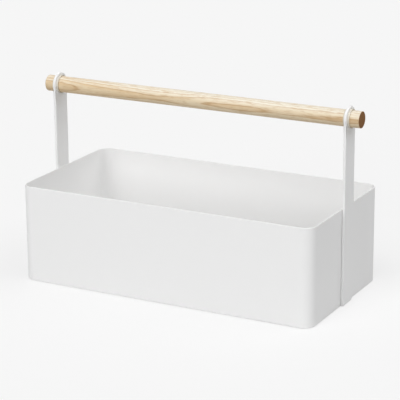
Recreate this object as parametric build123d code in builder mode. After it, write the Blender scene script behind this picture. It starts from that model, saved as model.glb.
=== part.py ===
from build123d import *
import os

os.makedirs("parts", exist_ok=True)

# Open steel tray with a wooden carrying bar. Millimetres, +Z up.
# X runs along the tray, -Y is the front, the origin is on the table under the tray's middle.

# Walls: one strip of sheet folded round four upright corners and butt welded at an end
tray_length = 350.0
tray_width = 178.0
wall_height = 108.0
wall_sheet = 1.2
corner_radius = 13.0
rim_round = 0.4

# Floor: a pan let in from below, with its flange turned down inside the walls
floor_sheet = 1.0
flange_depth = 6.0
floor_bend_inside = 0.6
floor_weld_gap = 0.1

# Foot pads: stuck under the floor, and just taller than the recess they sit in
foot_diameter = 12.7
foot_reveal = 1.0
foot_inset = 24.0
foot_edge_round = 1.2

# Straps: flat bars welded to the outside of the end walls, ending in round eyes
strap_width = 24.5
strap_thickness = 3.0
strap_foot_round = 1.6
strap_edge_round = 1.2  # the rolled bar's own round edges
eye_rim = 3.0  # strap metal left round the hole
eye_neck_round = 8.0  # where the eye is wider than the strap

# Sleeves: short plastic tubes pressed into the eyes, proud of the strap on both faces
sleeve_wall = 1.0
sleeve_stand = 2.0
sleeve_lip_round = 0.45
sleeve_press_gap = 0.03

# Carrying bar: a round dowel glued in the sleeves
dowel_diameter = 18.0
dowel_axis_height = 203.5  # above the walls' bottom edge
dowel_overhang = 12.5  # past each strap's outer face
dowel_end_round = 0.7
dowel_glue_gap = 0.3

# Levels and places that follow from the sizes above
walls_bottom = foot_reveal
floor_top = walls_bottom + flange_depth
floor_underside = floor_top - floor_sheet
dowel_axis_z = walls_bottom + dowel_axis_height
dowel_radius = dowel_diameter / 2
dowel_length = tray_length + 2 * (strap_thickness + dowel_overhang)
sleeve_bore_radius = dowel_radius + dowel_glue_gap
sleeve_outer_radius = sleeve_bore_radius + sleeve_wall
eye_hole_radius = sleeve_outer_radius + sleeve_press_gap
eye_radius = max(strap_width / 2, eye_hole_radius + eye_rim)
inner_length = tray_length - 2 * wall_sheet
inner_width = tray_width - 2 * wall_sheet
inner_corner_radius = corner_radius - wall_sheet


# Walls
with BuildPart() as wall_band:
    with BuildSketch(Plane.XY.offset(walls_bottom)):
        RectangleRounded(tray_length, tray_width, corner_radius)
        RectangleRounded(inner_length, inner_width, inner_corner_radius, mode=Mode.SUBTRACT)
    extrude(amount=wall_height)
    rim = wall_band.faces().sort_by(Axis.Z)[-1]
    fillet(rim.edges(), min(rim_round, 0.45 * wall_sheet))
wall_band.part.label = "wall_band"
export_step(wall_band.part, "parts/wall_band.step")


# Floor pan
pan_length = inner_length - 2 * floor_weld_gap
pan_width = inner_width - 2 * floor_weld_gap
pan_corner_radius = inner_corner_radius - floor_weld_gap
with BuildPart() as floor_pan:
    with BuildSketch(Plane.XY.offset(walls_bottom)):
        RectangleRounded(pan_length, pan_width, pan_corner_radius)
    extrude(amount=flange_depth)
    fillet(floor_pan.faces().sort_by(Axis.Z)[-1].edges(), floor_bend_inside + floor_sheet)
    underside = floor_pan.faces().sort_by(Axis.Z)[0]
    offset(amount=-floor_sheet, openings=underside)
floor_pan.part.label = "floor_pan"
export_step(floor_pan.part, "parts/floor_pan.step")


# Foot pads
foot_height = floor_underside
foot_reach_x = tray_length / 2 - foot_inset
foot_reach_y = tray_width / 2 - foot_inset
foot_places = {
    "foot_front_left": (-foot_reach_x, -foot_reach_y),
    "foot_front_right": (foot_reach_x, -foot_reach_y),
    "foot_back_left": (-foot_reach_x, foot_reach_y),
    "foot_back_right": (foot_reach_x, foot_reach_y),
}
for foot_name, (foot_x, foot_y) in foot_places.items():
    with BuildPart() as foot:
        with BuildSketch():
            with Locations((foot_x, foot_y)):
                Circle(foot_diameter / 2)
        extrude(amount=foot_height)
        fillet(foot.edges().group_by(Axis.Z)[0], foot_edge_round)
    foot.part.label = foot_name
    export_step(foot.part, f"parts/{foot_name}.step")


# Straps and the sleeves in their eyes, one pair at each end wall
for side_name, side in (("left", -1), ("right", 1)):
    end_wall = Plane(origin=(side * tray_length / 2, 0, 0), x_dir=(0, side, 0), z_dir=(side, 0, 0))

    with BuildPart() as strap:
        with BuildSketch(end_wall) as strap_outline:
            with Locations((0, walls_bottom + dowel_axis_height / 2)):
                Rectangle(strap_width, dowel_axis_height)
            with Locations((0, dowel_axis_z)):
                Circle(eye_radius)
            if eye_radius > strap_width / 2:
                neck_corners = strap_outline.vertices().group_by(Axis.Y)[1]
                fillet(neck_corners, eye_neck_round)
        extrude(amount=strap_thickness)
        foot_corners = strap.edges().filter_by(Axis.X).group_by(Axis.Z)[0]
        fillet(foot_corners, strap_foot_round)
        flat_faces = strap.faces().filter_by(Axis.X)
        fillet(flat_faces.edges(), min(strap_edge_round, 0.45 * strap_thickness))
        with BuildSketch(end_wall):
            with Locations((0, dowel_axis_z)):
                Circle(eye_hole_radius)
        extrude(amount=strap_thickness, mode=Mode.SUBTRACT)
    strap.part.label = f"strap_{side_name}"
    export_step(strap.part, f"parts/strap_{side_name}.step")

    with BuildPart() as eye_sleeve:
        with BuildSketch(end_wall.offset(-sleeve_stand)):
            with Locations((0, dowel_axis_z)):
                Circle(sleeve_outer_radius)
                Circle(sleeve_bore_radius, mode=Mode.SUBTRACT)
        extrude(amount=strap_thickness + 2 * sleeve_stand)
        lips = eye_sleeve.edges().filter_by(GeomType.CIRCLE).group_by(SortBy.RADIUS)[-1]
        fillet(lips, min(sleeve_lip_round, 0.45 * sleeve_wall))
    eye_sleeve.part.label = f"eye_sleeve_{side_name}"
    export_step(eye_sleeve.part, f"parts/eye_sleeve_{side_name}.step")


# Carrying bar
with BuildPart() as handle_dowel:
    with BuildSketch(Plane.YZ.offset(-dowel_length / 2)):
        with Locations((0, dowel_axis_z)):
            Circle(dowel_radius)
    extrude(amount=dowel_length)
    bar_ends = handle_dowel.faces().filter_by(Axis.X)
    fillet(bar_ends.edges(), dowel_end_round)
handle_dowel.part.label = "handle_dowel"
export_step(handle_dowel.part, "parts/handle_dowel.step")
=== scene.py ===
import math

import bmesh
import bpy
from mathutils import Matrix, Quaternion, Vector


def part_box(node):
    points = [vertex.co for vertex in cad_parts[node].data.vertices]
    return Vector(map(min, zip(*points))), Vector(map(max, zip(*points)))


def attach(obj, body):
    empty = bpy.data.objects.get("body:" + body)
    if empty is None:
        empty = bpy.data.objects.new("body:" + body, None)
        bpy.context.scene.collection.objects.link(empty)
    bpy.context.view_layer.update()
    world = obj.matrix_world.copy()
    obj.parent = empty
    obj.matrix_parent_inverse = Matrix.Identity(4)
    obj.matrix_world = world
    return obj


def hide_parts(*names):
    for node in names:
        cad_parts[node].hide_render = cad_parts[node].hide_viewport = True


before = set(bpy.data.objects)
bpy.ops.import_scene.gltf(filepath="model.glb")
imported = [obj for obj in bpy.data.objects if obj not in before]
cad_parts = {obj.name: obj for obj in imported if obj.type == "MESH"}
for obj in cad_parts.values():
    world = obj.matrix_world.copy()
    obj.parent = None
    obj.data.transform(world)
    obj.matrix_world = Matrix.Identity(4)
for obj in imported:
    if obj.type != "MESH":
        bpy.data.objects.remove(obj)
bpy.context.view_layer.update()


# Walls: one strip of steel sheet, folded round four upright corners and butt welded behind a
# strap. White powder coat covers it, and rounds over the cut edges at the rim and the foot.
wall_sheet = 0.0012
wall_corner_radius = 0.013
corner_steps = 18
cut_edge_round = 0.00035
square_edge = math.radians(50)  # faces turned more than this meet in a square edge
smooth_edge = math.radians(40)  # and less than this in a smooth one
lined_up = 0.9  # a direction this much along an axis counts as lined up with it
coat_dim = (0.885, 0.885, 0.883, 1)
coat_bright = (0.895, 0.895, 0.893, 1)


class Signal:
    """A socket in a material. Arithmetic on it adds Math nodes, and add() adds any other node."""

    def __init__(self, tree, socket=None):
        self.tree = tree
        self.socket = socket

    def add(self, kind, settings, inputs, output=0):
        """Adds a node: its settings first, then the values or links of its sockets."""
        node = self.tree.nodes.new("ShaderNode" + kind)
        for name, value in settings.items():
            if name == "points":
                line = node.mapping.curves[0]
                for place, height in value[1:-1]:
                    line.points.new(place, height)
                line.points[0].location = value[0]
                line.points[-1].location = value[-1]
                node.mapping.update()
            else:
                setattr(node, name, value)
        for name, value in inputs.items():
            if isinstance(value, Signal):
                self.tree.links.new(value.socket, node.inputs[name])
            else:
                node.inputs[name].default_value = value
        return Signal(self.tree, node.outputs[output])

    def math(self, operation, *values):
        return self.add("Math", {"operation": operation}, dict(enumerate(values)))

    def __add__(self, other):
        return self.math("ADD", self, other)

    __radd__ = __add__

    def __sub__(self, other):
        return self.math("SUBTRACT", self, other)

    def __rsub__(self, other):
        return self.math("SUBTRACT", other, self)

    def __mul__(self, other):
        return self.math("MULTIPLY", self, other)

    __rmul__ = __mul__

    def __truediv__(self, other):
        return self.math("DIVIDE", self, other)

    def step(self, low, high):
        """Rises smoothly from 0 at low to 1 at high."""
        limits = {"Value": self, "From Min": low, "From Max": high}
        return self.add("MapRange", {"interpolation_type": "SMOOTHSTEP"}, limits)

    def mix(self, none, full):
        """A colour: none where this value is 0, full where it is 1."""
        return self.add("Mix", {"data_type": "RGBA"}, {0: self, 6: none, 7: full}, output=2)

    def noise(self, scale, detail=2.0, roughness=0.5):
        """Noise at this position, with so many lumps to one unit of it."""
        inputs = {"Vector": self, "Scale": scale, "Detail": detail, "Roughness": roughness}
        return self.add("TexNoise", {}, inputs)

    def into(self, socket):
        self.tree.links.new(self.socket, socket)


def new_finish(name):
    """A new material, the sockets of its shader, and the position on the piece in metres."""
    material = bpy.data.materials.new(name)
    material.use_nodes = True
    shader = material.node_tree.nodes["Principled BSDF"]
    place = Signal(material.node_tree).add("TexCoord", {}, {}, output="Object")
    return material, shader.inputs, place


def bump(height, distance):
    """Normals for a height between 0 and 1 that stands for a depth of that distance."""
    return height.add("Bump", {}, {"Height": height, "Distance": distance, "Strength": 1.0})


def only(piece):
    """Selects one piece and nothing else."""
    bpy.ops.object.select_all(action="DESELECT")
    piece.select_set(True)
    bpy.context.view_layer.objects.active = piece


def start(name):
    """Names the primitive just added, fixes its place in its mesh, and opens it for shaping."""
    piece = bpy.context.object
    piece.name = name
    only(piece)
    bpy.ops.object.transform_apply(location=True, rotation=True, scale=True)
    bpy.ops.object.mode_set(mode="EDIT")
    return piece


def pick(piece, kind, wanted):
    """Selects the vertices, edges or faces of a piece that pass a test, and no others."""
    bpy.ops.mesh.select_mode(type=kind)
    bpy.ops.mesh.select_all(action="DESELECT")
    mesh = bmesh.from_edit_mesh(piece.data)
    parts = {"VERT": mesh.verts, "EDGE": mesh.edges, "FACE": mesh.faces}[kind]
    for part in parts:
        if wanted(part):
            part.select_set(True)
    bmesh.update_edit_mesh(piece.data)


def direction(edge):
    return (edge.verts[1].co - edge.verts[0].co).normalized()


def modify(piece, kind, **settings):
    """Adds one modifier to a piece and applies it."""
    modifier = piece.modifiers.new(kind, kind)
    for name, value in settings.items():
        setattr(modifier, name, value)
    only(piece)
    bpy.ops.object.modifier_apply(modifier=modifier.name)


def close_edges(piece, edge_round):
    """Rounds the edges that are still square, and keeps the large faces flat in the shading."""
    bpy.ops.object.mode_set(mode="EDIT")
    bpy.ops.mesh.select_all(action="SELECT")
    bpy.ops.mesh.remove_doubles(threshold=0.000001)
    bpy.ops.mesh.normals_make_consistent(inside=False)
    bpy.ops.object.mode_set(mode="OBJECT")
    modify(piece, "BEVEL", width=edge_round, segments=3, limit_method="ANGLE", angle_limit=square_edge)
    only(piece)
    bpy.ops.object.shade_smooth_by_angle(angle=smooth_edge)
    modify(piece, "WEIGHTED_NORMAL", keep_sharp=True)


powder_coat, sockets, place = new_finish("white_powder_coat")
orange_peel = place.noise(scale=650, detail=1)
fine_grain = place.noise(scale=2400, detail=2)
cloudiness = place.noise(scale=35, detail=3)
cloudiness.mix(coat_dim, coat_bright).into(sockets["Base Color"])
(0.46 + 0.1 * fine_grain).into(sockets["Roughness"])
bump(0.7 * orange_peel + 0.3 * fine_grain, distance=0.00003).into(sockets["Normal"])

wall_low, wall_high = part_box("wall_band")
bpy.ops.object.select_all(action="DESELECT")
bpy.ops.mesh.primitive_cube_add(size=1, location=(wall_low + wall_high) / 2, scale=wall_high - wall_low)
walls = start("walls")
pick(walls, "FACE", lambda face: abs(face.normal.z) > lined_up)
bpy.ops.mesh.delete(type="FACE")
pick(walls, "EDGE", lambda edge: abs(direction(edge).z) > lined_up)
bpy.ops.mesh.bevel(offset=wall_corner_radius, segments=corner_steps, affect="EDGES")
bpy.ops.object.mode_set(mode="OBJECT")
modify(walls, "SOLIDIFY", thickness=wall_sheet, offset=-1, use_even_offset=True)
close_edges(walls, cut_edge_round)
walls.data.materials.append(powder_coat)
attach(walls, "root")
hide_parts("wall_band")


# Floor: a pan of thinner sheet, let in from below. Its flange is bent down all round and spot
# welded inside the foot of the walls, and it has the same powder coat.
floor_sheet = 0.001
floor_bend_outside = 0.0016
level_slack = 0.0001  # a point this near a level counts as on it


def both_ends(edge, test):
    return all(test(vertex.co) for vertex in edge.verts)


pan_low, pan_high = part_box("floor_pan")
pan_corner_radius = wall_corner_radius - (pan_low.x - wall_low.x)
bpy.ops.object.select_all(action="DESELECT")
bpy.ops.mesh.primitive_cube_add(size=1, location=(pan_low + pan_high) / 2, scale=pan_high - pan_low)
pan = start("floor")
pick(pan, "FACE", lambda face: face.normal.z < -lined_up)
bpy.ops.mesh.delete(type="FACE")
pick(pan, "EDGE", lambda edge: abs(direction(edge).z) > lined_up)
bpy.ops.mesh.bevel(offset=pan_corner_radius, segments=corner_steps, affect="EDGES")
pick(pan, "EDGE", lambda edge: both_ends(edge, lambda end: end.z > pan_high.z - level_slack))
bpy.ops.mesh.bevel(offset=floor_bend_outside, segments=4, affect="EDGES")
bpy.ops.object.mode_set(mode="OBJECT")
modify(pan, "SOLIDIFY", thickness=floor_sheet, offset=-1, use_even_offset=True)
close_edges(pan, cut_edge_round)
pan.data.materials.append(powder_coat)
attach(pan, "root")
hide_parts("floor_pan")


# Foot pads: four soft round pads, stuck under the floor in its recess. They stand just below
# the walls, so that no painted edge touches the table.
pad_edge_round = 0.0012
pad_top_round = 0.0002
pad_steps = 48
flat = 0.999  # a face this square to an axis is flat, and no part of the round beside it
pad_dim = (0.74, 0.74, 0.73, 1)
pad_bright = (0.82, 0.82, 0.81, 1)

soft_pad, sockets, place = new_finish("soft_pad")
dust = place.noise(scale=900, detail=3)
dust.mix(pad_dim, pad_bright).into(sockets["Base Color"])
(0.55 + 0.2 * dust).into(sockets["Roughness"])
bump(dust, distance=0.00002).into(sockets["Normal"])

for corner in ("front_left", "front_right", "back_left", "back_right"):
    pad_low, pad_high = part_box("foot_" + corner)
    pad_size = pad_high - pad_low
    pad_middle = (pad_low + pad_high) / 2
    bpy.ops.object.select_all(action="DESELECT")
    bpy.ops.mesh.primitive_cylinder_add(
        vertices=pad_steps, radius=pad_size.x / 2, depth=pad_size.z, location=pad_middle
    )
    pad = start("pad_" + corner)
    pick(pad, "EDGE", lambda edge: both_ends(edge, lambda end: end.z < pad_low.z + level_slack))
    bpy.ops.mesh.bevel(offset=pad_edge_round, segments=5, affect="EDGES")
    pick(pad, "FACE", lambda face: face.normal.z < -flat)
    bpy.ops.mesh.inset(thickness=pad_edge_round)
    bpy.ops.object.mode_set(mode="OBJECT")
    close_edges(pad, pad_top_round)
    pad.data.materials.append(soft_pad)
    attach(pad, "root")
    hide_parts("foot_" + corner)


# Straps and sleeves: flat steel bars with rolled round edges, welded upright on the outside of
# the end walls. Each ends in a round eye, a little wider than the bar, with a short tube pressed
# through it, proud on both faces. The tube is coloured a darker cream than the white coat: painted
# shade, for the shadow that the eye casts on it.
strap_width = 0.0245
strap_foot_round = 0.0016
strap_edge_round = 0.0012
hole_edge_round = 0.0001
sleeve_wall = 0.001
sleeve_lip_round = 0.0004
press_gap = 0.00003
neck_drop = 1.4  # from the eye's middle down to where the bar starts to widen, in eye radii
eye_steps = 64
eye_step = 2 * math.pi / eye_steps
sideways = (0, math.pi / 2, 0)
# painted shade: the tube's colour is darker than the coat, for the eye's shadow on it
shaded_cream_dim = (0.68, 0.63, 0.54, 1)
shaded_cream_bright = (0.70, 0.65, 0.56, 1)

sleeve_plastic, sockets, place = new_finish("sleeve_plastic")
flow = place.noise(scale=120, detail=2)
flow.mix(shaded_cream_dim, shaded_cream_bright).into(sockets["Base Color"])
(0.45 + 0.15 * flow).into(sockets["Roughness"])
bump(place.noise(scale=1500, detail=1), distance=0.00001).into(sockets["Normal"])

for side in ("left", "right"):
    strap_low, strap_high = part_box("strap_" + side)
    sleeve_low, sleeve_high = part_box("eye_sleeve_" + side)
    sleeve_radius = (sleeve_high.y - sleeve_low.y) / 2
    eye = (sleeve_low + sleeve_high) / 2
    eye_radius = strap_high.z - eye.z
    hole_radius = sleeve_radius + press_gap
    rim_stretch = eye_radius / hole_radius
    rim_reach = eye_radius - level_slack
    shoulder_steps = math.ceil(math.asin(strap_width / 2 / eye_radius) / eye_step)
    shoulder = eye.z - eye_radius * math.cos(shoulder_steps * eye_step)
    neck = eye.z - neck_drop * eye_radius
    shank_length = neck - strap_low.z
    shank_middle = Vector((eye.x, eye.y, strap_low.z + shank_length / 2))

    def bridged(edge):
        """The neck of the shank, and the eye's outer edge below its shoulders."""
        neck_line = both_ends(edge, lambda end: abs(end.z - neck) < level_slack)
        on_rim = both_ends(edge, lambda end: (end - eye).length > rim_reach)
        below = both_ends(edge, lambda end: neck + level_slack < end.z < shoulder + level_slack)
        return neck_line or (on_rim and below)

    def outline(edge):
        """A square edge along the strap's outline, and not round its hole."""
        past_hole = both_ends(edge, lambda end: (end - eye).length > rim_reach)
        return edge.calc_face_angle(0) > square_edge and past_hole

    bpy.ops.object.select_all(action="DESELECT")
    bpy.ops.mesh.primitive_plane_add(size=strap_width, location=shank_middle, rotation=sideways)
    strap = start("strap_bar_" + side)
    bpy.ops.mesh.select_all(action="SELECT")
    bpy.ops.transform.resize(value=(1, 1, shank_length / strap_width), center_override=shank_middle)
    pick(strap, "VERT", lambda vertex: vertex.co.z < strap_low.z + level_slack)
    bpy.ops.mesh.bevel(offset=strap_foot_round, segments=5, affect="VERTICES")
    pick(strap, "EDGE", lambda edge: both_ends(edge, lambda end: end.z > neck - level_slack))
    bpy.ops.mesh.subdivide(number_cuts=2 * shoulder_steps - 1)
    bpy.ops.mesh.primitive_circle_add(
        vertices=eye_steps, radius=hole_radius, location=eye, rotation=sideways
    )
    bpy.ops.mesh.extrude_region()
    bpy.ops.transform.resize(value=(1, rim_stretch, rim_stretch), center_override=eye)
    pick(strap, "EDGE", bridged)
    bpy.ops.mesh.bridge_edge_loops()
    bpy.ops.mesh.select_all(action="SELECT")
    bpy.ops.mesh.normals_make_consistent(inside=False)
    bpy.ops.object.mode_set(mode="OBJECT")
    modify(strap, "SOLIDIFY", thickness=strap_high.x - strap_low.x, offset=0)
    bpy.ops.object.mode_set(mode="EDIT")
    pick(strap, "EDGE", outline)
    bpy.ops.mesh.bevel(offset=strap_edge_round, segments=6, affect="EDGES")
    bpy.ops.object.mode_set(mode="OBJECT")
    close_edges(strap, hole_edge_round)
    strap.data.materials.append(powder_coat)
    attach(strap, "root")
    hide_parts("strap_" + side)

    bpy.ops.object.select_all(action="DESELECT")
    bpy.ops.mesh.primitive_cylinder_add(
        vertices=eye_steps,
        radius=sleeve_radius,
        depth=sleeve_high.x - sleeve_low.x,
        end_fill_type="NOTHING",
        location=eye,
        rotation=sideways,
    )
    sleeve = start("sleeve_" + side)
    bpy.ops.object.mode_set(mode="OBJECT")
    modify(sleeve, "SOLIDIFY", thickness=sleeve_wall, offset=-1, use_even_offset=True)
    close_edges(sleeve, sleeve_lip_round)
    sleeve.data.materials.append(sleeve_plastic)
    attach(sleeve, "root")
    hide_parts("eye_sleeve_" + side)


# Carrying bar: a round dowel of pale ash, sanded and clear oiled, and glued in the sleeves. The
# sawn ends drank more oil, so they are much darker than the sides.
bar_low, bar_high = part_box("handle_dowel")
bar_middle = (bar_low + bar_high) / 2
bar_radius = (bar_high.y - bar_low.y) / 2
bar_length = bar_high.x - bar_low.x
bar_end_round = 0.0007
bar_edge_round = 0.0001
bar_steps = 96
bar_sections = 12

bpy.ops.object.select_all(action="DESELECT")
bpy.ops.mesh.primitive_cylinder_add(
    vertices=bar_steps, radius=bar_radius, depth=bar_length, location=bar_middle, rotation=sideways
)
bar = start("carrying_bar")
pick(bar, "EDGE", lambda edge: abs(direction(edge).x) < 1 - lined_up)
bpy.ops.mesh.bevel(offset=bar_end_round, segments=4, affect="EDGES")
pick(bar, "EDGE", lambda edge: abs(direction(edge).x) > lined_up and edge.calc_length() > bar_length / 2)
bpy.ops.mesh.subdivide(number_cuts=bar_sections - 1)
pick(bar, "FACE", lambda face: abs(face.normal.x) > flat)
bpy.ops.mesh.inset(thickness=bar_radius / 3)
bpy.ops.object.mode_set(mode="OBJECT")
close_edges(bar, bar_edge_round)

# The wood's pattern is in millimetres from the bar's middle: growth rings round a pith far off to
# the back, which slant in and out of the bar's surface along its length.
millimetres = 1000  # in a metre
grain_radius = millimetres * bar_radius
grain_length = millimetres * bar_length
ring_spacing = 2.2
pith_distance = 70.0
pith_angle = math.radians(4)
ring_drift = 4.0  # how far the rings shift where the drift line is at 1
drift_line = (
    (0, 0.9), (0.06, 0.8), (0.11, 0.55), (0.17, 0.35), (0.3, 0.15), (0.37, 0.08),
    (0.47, 0.3), (0.56, 0.6), (0.67, 0.65), (0.75, 0.53), (0.94, 0.6), (1, 0.6),
)
side_wood = (0.78, 0.65, 0.455, 1)
# painted sheen colour, for the top of the bar
sheen_painted_wood = (0.85, 0.80, 0.68, 1)
warm_wood = (0.70, 0.52, 0.31, 1)
streak_brown = (0.60, 0.42, 0.24, 1)
pore_brown = (0.49, 0.30, 0.145, 1)
end_brown = (0.23, 0.105, 0.032, 1)
end_pore_brown = (0.12, 0.05, 0.014, 1)

ash, sockets, place = new_finish("pale_wood")
sockets["Specular IOR Level"].default_value = 0.4
centred = {"Vector": place, "Location": -millimetres * bar_middle, "Scale": (millimetres,) * 3}
grain_place = place.add("Mapping", {}, centred)
along = grain_place.add("SeparateXYZ", {}, {"Vector": grain_place}, output="X")
pith = Vector((0, math.cos(pith_angle), math.sin(pith_angle))) * pith_distance
from_pith = grain_place.add("Mapping", {}, {"Vector": grain_place, "Location": -pith, "Scale": (0, 1, 1)})
growth = grain_place.add("VectorMath", {"operation": "LENGTH"}, {0: from_pith}, output="Value")
stretched = grain_place.add("Mapping", {}, {"Vector": grain_place, "Scale": (0.05, 1, 1)})
wander = stretched.noise(scale=0.5, detail=3)
share = 0.5 + along / grain_length  # 0 at the left end of the bar, 1 at the right end
drift = ring_drift * share.add("FloatCurve", {"points": drift_line}, {"Value": share})
age = growth - (pith_distance + grain_radius) + drift + 0.8 * (wander - 0.5)
rings = age / ring_spacing
season = rings.math("FRACT", rings)  # from one ring's dark line at 0 to the next at 1

# The line is the pores of spring. It comes and goes, and the wood outside it starts out darker.
# Thin brown streaks lie all over, and the bar's left part is warmer. A paler, less warm band along
# the top of the bar is painted sheen: the light that glances off the top, painted into the colour.
streaked = grain_place.add("Mapping", {}, {"Vector": grain_place, "Scale": (0.1, 1, 1)})
streaks = 0.55 * streaked.noise(scale=1.0, detail=3).step(0.5, 0.66)
pores = stretched.noise(scale=1.6, detail=3).step(0.38, 0.6)
spring = (1 - season.step(0.0, 0.14) + season.step(0.88, 1.0)) * (0.35 + 0.65 * pores)
summer = 1 - season.step(0.0, 0.6)
fibre = stretched.noise(scale=2.4, detail=4, roughness=0.6)
mottle = stretched.noise(scale=0.25, detail=2)
# Painted sheen: the wood is paler and less warm towards the top of the bar, where light glances off it.
painted_sheen_band = grain_place.add("SeparateXYZ", {}, {"Vector": grain_place}, output="Z").step(1.5, 7.5)
left_part = 1 - share.step(0.05, 0.5)
warmth = 0.55 * summer + 1.2 * (fibre - 0.5) + (mottle - 0.5) + 0.12 - 0.3 * painted_sheen_band + 0.4 * left_part
wood_with_painted_sheen = painted_sheen_band.mix(side_wood, sheen_painted_wood)
pale = warmth.step(0.0, 1.0).mix(wood_with_painted_sheen, warm_wood)
streaked_wood = streaks.mix(pale, streak_brown)
side_colour = (0.9 * spring).mix(streaked_wood, pore_brown)
end_grain = along.math("ABSOLUTE", along).step(grain_length / 2 - 0.5, grain_length / 2 - 0.1)
end_colour = spring.mix(end_brown, end_pore_brown)
end_grain.mix(side_colour, end_colour).into(sockets["Base Color"])
(0.42 + 0.16 * fibre + 0.4 * end_grain).into(sockets["Roughness"])
bump(fibre, distance=0.00003).into(sockets["Normal"])
bar.data.materials.append(ash)
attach(bar, "root")
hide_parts("handle_dowel")


# Light: soft lamps just left of the front, low and high, one from behind on the right, a weak one
# at the front right, and a faint even sky.
sky_light = 0.19
table_light = sky_light


def add_lamp(name, azimuth, elevation, strength, spread):
    """A sun at this azimuth, counted left of the front, and elevation. Returns its light on a table."""
    lamp = bpy.data.lights.new(name, "SUN")
    lamp.energy = strength
    lamp.angle = math.radians(spread)
    left, up = math.radians(azimuth), math.radians(elevation)
    towards = Vector((-math.sin(left) * math.cos(up), -math.cos(left) * math.cos(up), math.sin(up)))
    holder = bpy.data.objects.new(name, lamp)
    holder.rotation_mode = "QUATERNION"
    holder.rotation_quaternion = towards.to_track_quat("Z", "Y")
    bpy.context.scene.collection.objects.link(holder)
    return strength / math.pi * math.sin(up)


table_light += add_lamp("low_front_lamp", azimuth=8, elevation=14, strength=0.75, spread=16)
table_light += add_lamp("high_front_lamp", azimuth=5, elevation=57, strength=1.50, spread=40)
table_light += add_lamp("back_lamp", azimuth=-110, elevation=50, strength=1.17, spread=60)
table_light += add_lamp("weak_right_lamp", azimuth=-36, elevation=24, strength=0.23, spread=40)


# Studio: a plain pale table that runs out of sight, and an even backdrop of the same tone. What
# is seen of the table is part glow, at a strength that gives the open table the backdrop's tone.
backdrop_tone = 0.922
table_bounce = 0.5
table_reach = 14.0
glow_share = 0.75
glow_strength = (backdrop_tone - (1 - glow_share) * table_light) / glow_share


def grey(tone):
    return (tone, tone, tone, 1)


def looked_at(tree):
    """1 for rays that look at the studio itself, straight or in a reflection, and 0 for its light."""
    looks = Signal(tree).add("LightPath", {}, {}, output="Is Camera Ray")
    for ray in ("Is Glossy Ray", "Is Transmission Ray"):
        looks = looks.math("MAXIMUM", looks, looks.add("LightPath", {}, {}, output=ray))
    return looks


bpy.ops.object.select_all(action="DESELECT")
bpy.ops.mesh.primitive_plane_add(size=table_reach, location=(0, 0, 0))
table = bpy.context.object
table.name = "table"
table_finish, sockets, place = new_finish("table_paint")
looks = looked_at(place.tree)
paint = looks.add("BsdfDiffuse", {}, {"Color": looks.mix(grey(table_bounce), grey(1.0))})
glow = looks.add("Emission", {}, {"Color": grey(1.0), "Strength": glow_strength})
top = looks.add("MixShader", {}, {0: glow_share * looks, 1: paint, 2: glow})
top.into(table_finish.node_tree.nodes["Material Output"].inputs["Surface"])
table.data.materials.append(table_finish)

world = bpy.data.worlds.new("studio")
bpy.context.scene.world = world
world.use_nodes = True
sky = Signal(world.node_tree)
lighting = sky.add("Background", {}, {"Color": grey(sky_light), "Strength": 1.0})
backdrop = sky.add("Background", {}, {"Color": grey(backdrop_tone), "Strength": 1.0})
studio = sky.add("MixShader", {}, {0: looked_at(sky.tree), 1: lighting, 2: backdrop})
studio.into(world.node_tree.nodes["World Output"].inputs["Surface"])


# Camera: a long lens at the front right, about 0.65 m above the table. It looks down a little, and
# is tilted by a fraction of a degree, as the photograph is.
camera_azimuth = math.radians(27.84)
camera_elevation = math.radians(17.09)
camera_roll = math.radians(-0.38)
camera_distance = 1.912
lens_length = 156.6
looks_at = Vector((0.0007, 0, 0.0920))
back = Vector(
    (
        math.sin(camera_azimuth) * math.cos(camera_elevation),
        -math.cos(camera_azimuth) * math.cos(camera_elevation),
        math.sin(camera_elevation),
    )
)
camera_data = bpy.data.cameras.new("camera")
camera_data.lens = lens_length
camera_data.sensor_width = 36
camera_data.clip_end = 50
camera = bpy.data.objects.new("camera", camera_data)
camera.location = looks_at + camera_distance * back
camera.rotation_mode = "QUATERNION"
camera.rotation_quaternion = back.to_track_quat("Z", "Y") @ Quaternion((0, 0, 1), camera_roll)
bpy.context.scene.collection.objects.link(camera)
bpy.context.scene.camera = camera
bpy.context.scene.view_settings.view_transform = "Standard"
